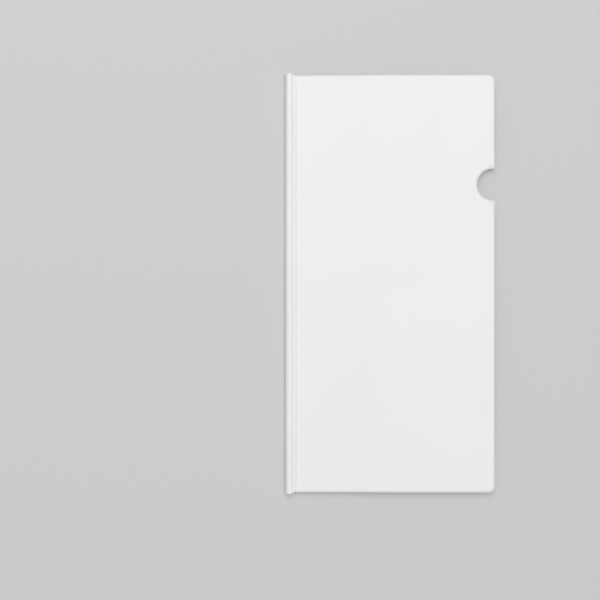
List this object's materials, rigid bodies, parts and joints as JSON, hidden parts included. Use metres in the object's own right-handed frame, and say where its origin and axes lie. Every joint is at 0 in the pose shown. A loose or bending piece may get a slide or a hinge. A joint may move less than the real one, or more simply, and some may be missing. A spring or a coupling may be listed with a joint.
{
  "type": "slide-bar document folder",
  "caption": "Narrow white document folder: one plastic sheet folded into two leaves with a thumb cut, its fold gripped by a round-backed sliding spine bar.",
  "frame": {"origin": "centre of the folder's footprint, on the surface that it lies on", "axes": "+X from the spine bar to the free edge, +Y up the folder's height along the bar, +Z off the surface, out of the front leaf"},
  "size_m": [0.1554, 0.312, 0.0062],
  "materials": {
    "cover_film": "calendered polypropylene sheet, white, fine frosted grain",
    "bar_plastic": "extruded plastic, cool white, smooth semi-gloss"
  },
  "bodies": {
    "cover": {"cover": "cover_film"},
    "slide_bar": {"slide_bar": "bar_plastic"}
  },
  "joints": [
    {"name": "bar_slide", "type": "slide", "parent": "cover", "child": "slide_bar", "axis": [0, 1, 0], "range_m": [-0.311, 0.311]}
  ]
}
